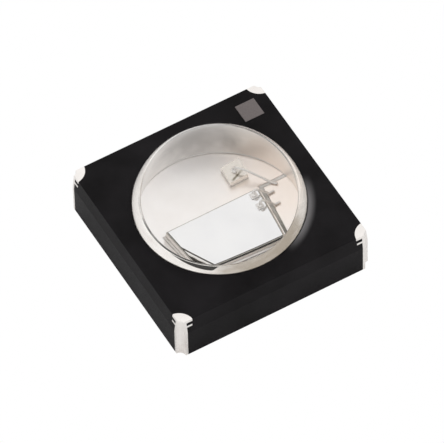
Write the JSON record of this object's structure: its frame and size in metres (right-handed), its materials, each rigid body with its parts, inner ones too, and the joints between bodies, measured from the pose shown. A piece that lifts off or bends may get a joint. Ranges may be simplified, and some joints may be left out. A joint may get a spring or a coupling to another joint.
{
  "type": "ultraviolet led",
  "caption": "Square black surface-mount ultraviolet LED with a clear domed lens over a silver reflector bowl, plated corners and solder pads below.",
  "frame": {"origin": "on the underside, at its centre, below the dome's axis", "axes": "+Z out of the underside towards the dome, the way the light leaves; +X from the cathode end to the anode end; the polarity mark is at the +X +Y corner"},
  "size_m": [0.0038, 0.0038, 0.0021],
  "materials": {
    "black_moulding": "satin",
    "grey_mark": "matte",
    "terminal_plate": "satin",
    "silver_plate": "bright",
    "epoxy_adhesive": "matte",
    "chip": "satin",
    "solder": "satin",
    "bond_silver": "bright",
    "silicon": "satin",
    "clear_silicone": "polished"
  },
  "bodies": {
    "root": {"housing": "black_moulding", "polarity_mark": "grey_mark", "corner_terminal_left": "terminal_plate", "corner_terminal_back": "terminal_plate", "corner_terminal_right": "terminal_plate", "corner_terminal_front": "terminal_plate", "cathode_lead": "silver_plate", "anode_lead": "silver_plate", "reflector": "silver_plate", "reflector_adhesive": "epoxy_adhesive", "die_attach": "solder", "led_chip": "chip", "chip_bond_pad_1": "bond_silver", "chip_bond_pad_2": "bond_silver", "diode_attach": "solder", "protection_diode": "silicon", "bond_wire_1": "bond_silver", "bond_wire_2": "bond_silver", "diode_wire": "bond_silver", "lens": "clear_silicone"}
  },
  "joints": []
}
